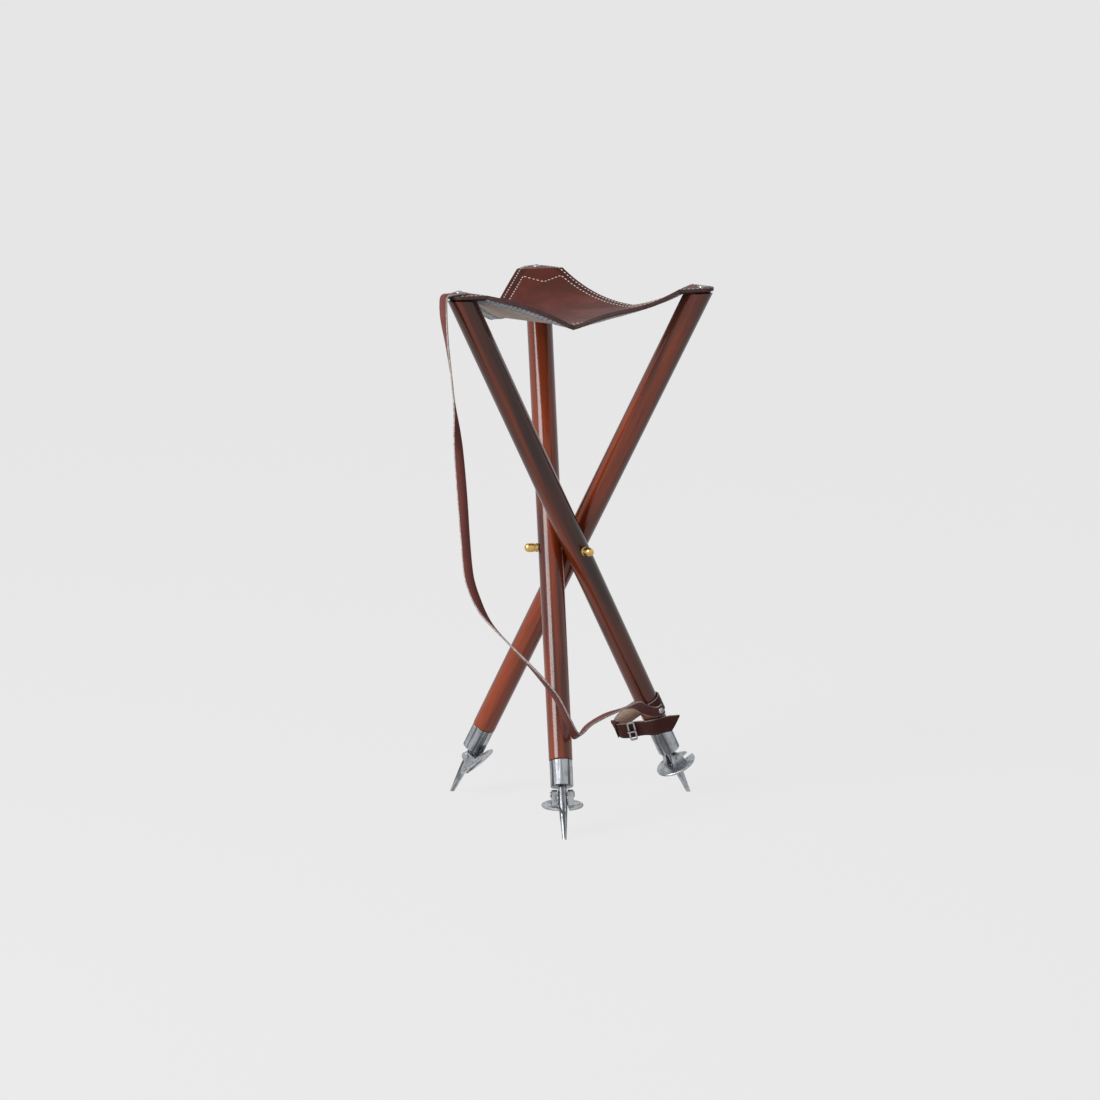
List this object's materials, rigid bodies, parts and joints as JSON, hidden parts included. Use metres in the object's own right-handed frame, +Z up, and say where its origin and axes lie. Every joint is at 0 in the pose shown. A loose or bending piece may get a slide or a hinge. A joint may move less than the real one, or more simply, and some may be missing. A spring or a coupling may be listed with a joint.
{
  "type": "folding tripod stool",
  "caption": "Folding tripod stool: wooden legs crossing on a three-way stud, stitched leather seat, spiked feet with swinging ground plates and leather straps.",
  "frame": {"origin": "centre of the bounding box without the carrying strap, on the floor under the spike tips", "axes": "+Z up, +X to the right and +Y away from a viewer at the pictured front"},
  "size_m": [0.3151, 0.3364, 0.6178],
  "materials": {
    "wood": "glossy red-brown lacquer",
    "aluminium": "cast and turned, satin",
    "brass": "turned, bright",
    "steel": "nickel-plated",
    "seat_leather": "smooth dark brown, stitched",
    "patch_leather": "matt",
    "strap_leather": "smooth dark brown"
  },
  "bodies": {
    "hub": {"three_way_stud": "steel", "cap_nut_a": "brass", "cap_nut_b": "brass", "cap_nut_c": "brass"},
    "leg_a": {"leg_rod_a": "wood", "ferrule_a": "aluminium", "spike_a": "aluminium", "pivot_pin_a": "steel", "corner_patch_a": "patch_leather", "seat_tab_a": "seat_leather", "seat_screw_a": "steel", "carrying_strap": "strap_leather", "closing_strap": "strap_leather", "strap_keeper": "strap_leather", "buckle_frame": "steel", "strap_screw": "steel"},
    "leg_b": {"leg_rod_b": "wood", "ferrule_b": "aluminium", "spike_b": "aluminium", "pivot_pin_b": "steel", "corner_patch_b": "patch_leather", "seat_tab_b": "seat_leather", "seat_screw_b": "steel"},
    "leg_c": {"leg_rod_c": "wood", "ferrule_c": "aluminium", "spike_c": "aluminium", "pivot_pin_c": "steel", "corner_patch_c": "patch_leather", "seat_tab_c": "seat_leather", "seat_screw_c": "steel"},
    "prong": {"buckle_prong": "steel"},
    "plate_a": {"foot_plate_a": "aluminium"},
    "plate_b": {"foot_plate_b": "aluminium"},
    "plate_c": {"foot_plate_c": "aluminium"},
    "seat": {"seat_panel": "seat_leather"},
    "flap_a": {"seat_flap_a": "seat_leather"},
    "flap_b": {"seat_flap_b": "seat_leather"},
    "flap_c": {"seat_flap_c": "seat_leather"}
  },
  "joints": [
    {"name": "fold", "type": "hinge", "parent": "hub", "child": "leg_a", "pos_m": [-0.00974, -0.00576, 0.30691], "axis": [-0.5, 0.866, 0], "range_deg": [0, 22], "deforming": ["seat_panel", "seat_flap_a", "seat_flap_b", "seat_flap_c"]},
    {"name": "fold_b", "type": "hinge", "parent": "hub", "child": "leg_b", "pos_m": [-0.00974, -0.00576, 0.30691], "axis": [-0.5, -0.866, 0], "range_deg": [0, 22]},
    {"name": "fold_c", "type": "hinge", "parent": "hub", "child": "leg_c", "pos_m": [-0.00974, -0.00576, 0.30691], "axis": [1, 0, 0], "range_deg": [0, 22]},
    {"name": "seat_lift", "type": "slide", "parent": "hub", "child": "seat", "axis": [0, 0, 1], "range_m": [0, 0.1654]},
    {"name": "flap_fold_a", "type": "hinge", "parent": "seat", "child": "flap_a", "pos_m": [-0.05118, -0.02968, 0.57381], "axis": [0.5, -0.866, 0], "range_deg": [0, 131.5]},
    {"name": "flap_fold_b", "type": "hinge", "parent": "seat", "child": "flap_b", "pos_m": [0.0317, -0.02968, 0.57381], "axis": [0.5, 0.866, 0], "range_deg": [0, 131.5]},
    {"name": "flap_fold_c", "type": "hinge", "parent": "seat", "child": "flap_c", "pos_m": [-0.00974, 0.0421, 0.57381], "axis": [-1, 0, 0], "range_deg": [0, 131.5]},
    {"name": "plate_swing_a", "type": "hinge", "parent": "leg_a", "child": "plate_a", "pos_m": [0.11723, 0.04538, 0.04657], "axis": [-0.5, 0.866, 0], "range_deg": [0, 76]},
    {"name": "plate_swing_b", "type": "hinge", "parent": "leg_b", "child": "plate_b", "pos_m": [-0.1175, 0.07863, 0.04657], "axis": [-0.5, -0.866, 0], "range_deg": [-70, 6]},
    {"name": "plate_swing_c", "type": "hinge", "parent": "leg_c", "child": "plate_c", "pos_m": [-0.02894, -0.14128, 0.04657], "axis": [1, 0, 0], "range_deg": [-28, 48]},
    {"name": "prong_lift", "type": "hinge", "parent": "leg_a", "child": "prong", "pos_m": [0.06518, 0.0288, 0.07957], "axis": [0.2521, 0.2562, -0.9332], "range_deg": [0, 60]}
  ],
  "couplings": [
    {"joint": "fold_b", "follows": "fold", "ratio": 1},
    {"joint": "fold_c", "follows": "fold", "ratio": 1},
    {"joint": "seat_lift", "follows": "fold", "m_per_rad": 0.42944},
    {"joint": "flap_fold_a", "follows": "fold", "ratio": 5.9694},
    {"joint": "flap_fold_b", "follows": "fold", "ratio": 5.9694},
    {"joint": "flap_fold_c", "follows": "fold", "ratio": 5.9694}
  ]
}
